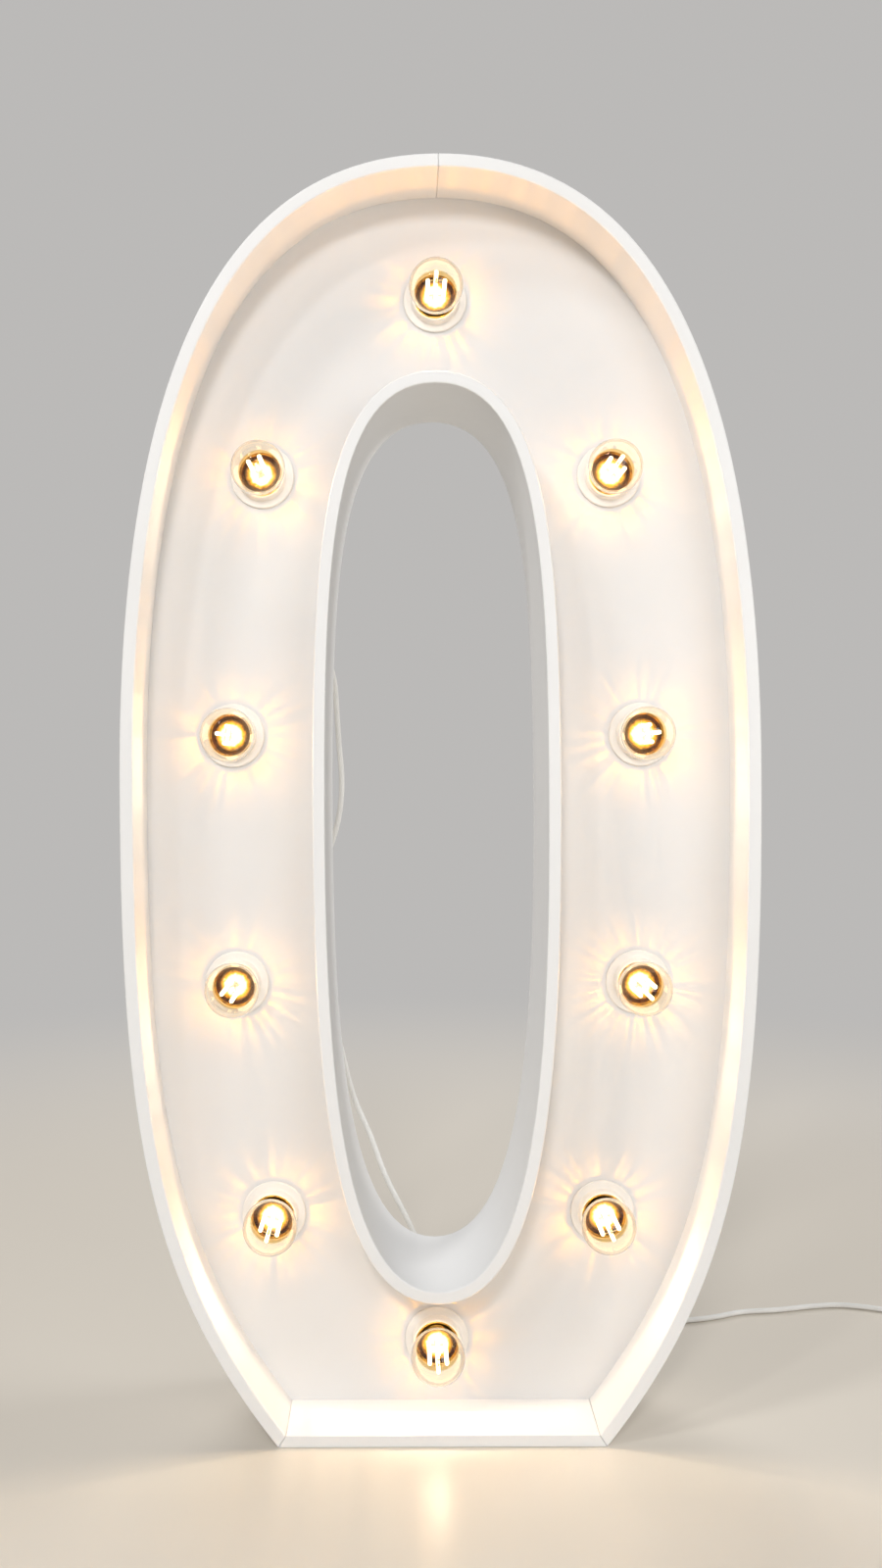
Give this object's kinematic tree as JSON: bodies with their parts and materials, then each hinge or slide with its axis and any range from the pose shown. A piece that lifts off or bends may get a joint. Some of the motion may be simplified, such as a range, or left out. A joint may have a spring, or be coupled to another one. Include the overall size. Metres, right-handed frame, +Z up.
{
  "type": "marquee number",
  "caption": "Free-standing light-up figure zero: deep white board outline round an oval hole, recessed panel with amber screw-in globe bulbs, supply cord with plug.",
  "frame": {"origin": "centre of the bounding box of the number itself, without its cord, at its foot: on the surface that it stands on", "axes": "+Z up, -Y towards the front with the bulbs, +X to the right seen from the front"},
  "size_m": [0.9464, 0.3158, 1.2],
  "materials": {
    "wall_paint": "board with smooth white gloss paint",
    "panel_paint": "board with white satin paint",
    "cover_board": "plain white-faced hardboard",
    "holder_plastic": "smooth moulded white",
    "cap_metal": "bright pressed shell",
    "amber_glass": "clear amber-tinted blown glass",
    "filament_glow": "glowing warm yellow sticks on a glass stem",
    "screw_steel": "zinc plated",
    "block_plastic": "plain moulded",
    "cable_plastic": "smooth sheath",
    "fitting_plastic": "smooth moulded white",
    "cord_plastic": "smooth white sheath"
  },
  "bodies": {
    "housing": {"outer_wall_left": "wall_paint", "outer_wall_right": "wall_paint", "base_board": "wall_paint", "inner_wall": "wall_paint", "lamp_panel": "panel_paint", "rear_cover": "cover_board", "lampholder_01": "holder_plastic", "lampholder_02": "holder_plastic", "lampholder_03": "holder_plastic", "lampholder_04": "holder_plastic", "lampholder_05": "holder_plastic", "lampholder_06": "holder_plastic", "lampholder_07": "holder_plastic", "lampholder_08": "holder_plastic", "lampholder_09": "holder_plastic", "lampholder_10": "holder_plastic", "terminal_block": "block_plastic", "wiring_harness": "cable_plastic", "supply_tail": "cable_plastic", "cord_gland": "fitting_plastic", "cable_clip": "fitting_plastic", "cord_lead": "cord_plastic", "cord_coil": "cord_plastic", "plug": "fitting_plastic", "cover_screw_01": "screw_steel", "cover_screw_02": "screw_steel", "cover_screw_03": "screw_steel", "cover_screw_04": "screw_steel", "cover_screw_05": "screw_steel", "cover_screw_06": "screw_steel"},
    "cap_01": {"bulb_cap_01": "cap_metal"},
    "bulb_01": {"bulb_glass_01": "amber_glass", "bulb_filament_01": "filament_glow"},
    "cap_02": {"bulb_cap_02": "cap_metal"},
    "bulb_02": {"bulb_glass_02": "amber_glass", "bulb_filament_02": "filament_glow"},
    "cap_03": {"bulb_cap_03": "cap_metal"},
    "bulb_03": {"bulb_glass_03": "amber_glass", "bulb_filament_03": "filament_glow"},
    "cap_04": {"bulb_cap_04": "cap_metal"},
    "bulb_04": {"bulb_glass_04": "amber_glass", "bulb_filament_04": "filament_glow"},
    "cap_05": {"bulb_cap_05": "cap_metal"},
    "bulb_05": {"bulb_glass_05": "amber_glass", "bulb_filament_05": "filament_glow"},
    "cap_06": {"bulb_cap_06": "cap_metal"},
    "bulb_06": {"bulb_glass_06": "amber_glass", "bulb_filament_06": "filament_glow"},
    "cap_07": {"bulb_cap_07": "cap_metal"},
    "bulb_07": {"bulb_glass_07": "amber_glass", "bulb_filament_07": "filament_glow"},
    "cap_08": {"bulb_cap_08": "cap_metal"},
    "bulb_08": {"bulb_glass_08": "amber_glass", "bulb_filament_08": "filament_glow"},
    "cap_09": {"bulb_cap_09": "cap_metal"},
    "bulb_09": {"bulb_glass_09": "amber_glass", "bulb_filament_09": "filament_glow"},
    "cap_10": {"bulb_cap_10": "cap_metal"},
    "bulb_10": {"bulb_glass_10": "amber_glass", "bulb_filament_10": "filament_glow"}
  },
  "joints": [
    {"name": "bulb_01_travel", "type": "slide", "parent": "housing", "child": "cap_01", "axis": [0, -1, 0], "range_m": [0, 0.0128]},
    {"name": "bulb_01_turn", "type": "hinge", "parent": "cap_01", "child": "bulb_01", "pos_m": [-0.00187, -0.0123, 1.08638], "axis": [0, -1, 0], "range_deg": [0, 1260]},
    {"name": "bulb_02_travel", "type": "slide", "parent": "housing", "child": "cap_02", "axis": [0, -1, 0], "range_m": [0, 0.0128]},
    {"name": "bulb_02_turn", "type": "hinge", "parent": "cap_02", "child": "bulb_02", "pos_m": [0.16758, -0.0123, 0.91465], "axis": [0, -1, 0], "range_deg": [0, 1260]},
    {"name": "bulb_03_travel", "type": "slide", "parent": "housing", "child": "cap_03", "axis": [0, -1, 0], "range_m": [0, 0.0128]},
    {"name": "bulb_03_turn", "type": "hinge", "parent": "cap_03", "child": "bulb_03", "pos_m": [0.1977, -0.0123, 0.6616], "axis": [0, -1, 0], "range_deg": [0, 1260]},
    {"name": "bulb_04_travel", "type": "slide", "parent": "housing", "child": "cap_04", "axis": [0, -1, 0], "range_m": [0, 0.0128]},
    {"name": "bulb_04_turn", "type": "hinge", "parent": "cap_04", "child": "bulb_04", "pos_m": [0.19415, -0.0123, 0.41958], "axis": [0, -1, 0], "range_deg": [0, 1260]},
    {"name": "bulb_05_travel", "type": "slide", "parent": "housing", "child": "cap_05", "axis": [0, -1, 0], "range_m": [0, 0.0128]},
    {"name": "bulb_05_turn", "type": "hinge", "parent": "cap_05", "child": "bulb_05", "pos_m": [0.15873, -0.0123, 0.19463], "axis": [0, -1, 0], "range_deg": [0, 1260]},
    {"name": "bulb_06_travel", "type": "slide", "parent": "housing", "child": "cap_06", "axis": [0, -1, 0], "range_m": [0, 0.0128]},
    {"name": "bulb_06_turn", "type": "hinge", "parent": "cap_06", "child": "bulb_06", "pos_m": [-0.0035, -0.0123, 0.0715], "axis": [0, -1, 0], "range_deg": [0, 1260]},
    {"name": "bulb_07_travel", "type": "slide", "parent": "housing", "child": "cap_07", "axis": [0, -1, 0], "range_m": [0, 0.0128]},
    {"name": "bulb_07_turn", "type": "hinge", "parent": "cap_07", "child": "bulb_07", "pos_m": [-0.16221, -0.0123, 0.19463], "axis": [0, -1, 0], "range_deg": [0, 1260]},
    {"name": "bulb_08_travel", "type": "slide", "parent": "housing", "child": "cap_08", "axis": [0, -1, 0], "range_m": [0, 0.0128]},
    {"name": "bulb_08_turn", "type": "hinge", "parent": "cap_08", "child": "bulb_08", "pos_m": [-0.19766, -0.0123, 0.41958], "axis": [0, -1, 0], "range_deg": [0, 1260]},
    {"name": "bulb_09_travel", "type": "slide", "parent": "housing", "child": "cap_09", "axis": [0, -1, 0], "range_m": [0, 0.0128]},
    {"name": "bulb_09_turn", "type": "hinge", "parent": "cap_09", "child": "bulb_09", "pos_m": [-0.20123, -0.0123, 0.6616], "axis": [0, -1, 0], "range_deg": [0, 1260]},
    {"name": "bulb_10_travel", "type": "slide", "parent": "housing", "child": "cap_10", "axis": [0, -1, 0], "range_m": [0, 0.0128]},
    {"name": "bulb_10_turn", "type": "hinge", "parent": "cap_10", "child": "bulb_10", "pos_m": [-0.17131, -0.0123, 0.91465], "axis": [0, -1, 0], "range_deg": [0, 1260]}
  ],
  "couplings": [
    {"joint": "bulb_01_travel", "follows": "bulb_01_turn", "m_per_rad": 0.00057757},
    {"joint": "bulb_02_travel", "follows": "bulb_02_turn", "m_per_rad": 0.00057757},
    {"joint": "bulb_03_travel", "follows": "bulb_03_turn", "m_per_rad": 0.00057757},
    {"joint": "bulb_04_travel", "follows": "bulb_04_turn", "m_per_rad": 0.00057757},
    {"joint": "bulb_05_travel", "follows": "bulb_05_turn", "m_per_rad": 0.00057757},
    {"joint": "bulb_06_travel", "follows": "bulb_06_turn", "m_per_rad": 0.00057757},
    {"joint": "bulb_07_travel", "follows": "bulb_07_turn", "m_per_rad": 0.00057757},
    {"joint": "bulb_08_travel", "follows": "bulb_08_turn", "m_per_rad": 0.00057757},
    {"joint": "bulb_09_travel", "follows": "bulb_09_turn", "m_per_rad": 0.00057757},
    {"joint": "bulb_10_travel", "follows": "bulb_10_turn", "m_per_rad": 0.00057757}
  ]
}
